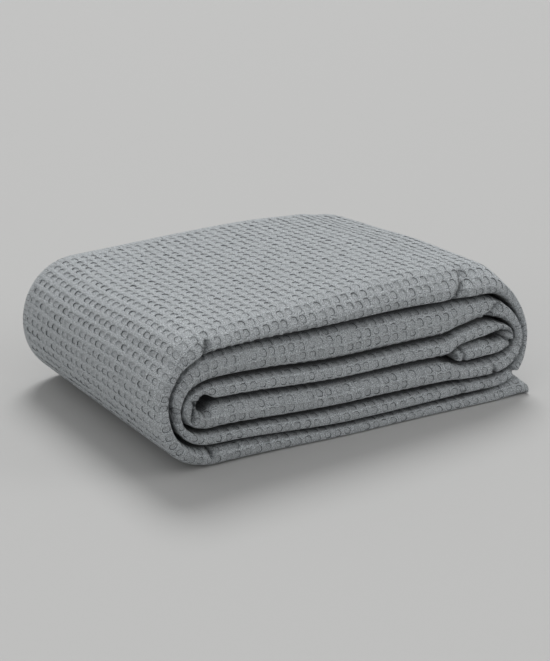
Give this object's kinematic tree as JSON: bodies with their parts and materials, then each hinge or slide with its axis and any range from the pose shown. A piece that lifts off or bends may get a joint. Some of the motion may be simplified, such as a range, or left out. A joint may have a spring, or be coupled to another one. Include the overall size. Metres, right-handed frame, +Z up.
{
  "type": "folded waffle weave cotton blanket",
  "caption": "Grey waffle weave cotton blanket, folded lengthwise into a strip and rolled up flat, with its free end lying on the floor.",
  "frame": {"origin": "middle of the folded bundle's footprint, on the surface that it lies on", "axes": "+X along the bundle towards the side where the free end lies, +Y from the front edge with the visible turns towards the hems at the back, +Z up"},
  "size_m": [0.405, 0.3004, 0.1234],
  "materials": {
    "waffle_cotton": "matt woven cotton with raised squares about 10 mm wide"
  },
  "bodies": {
    "root": {"blanket": "waffle_cotton"}
  },
  "joints": []
}
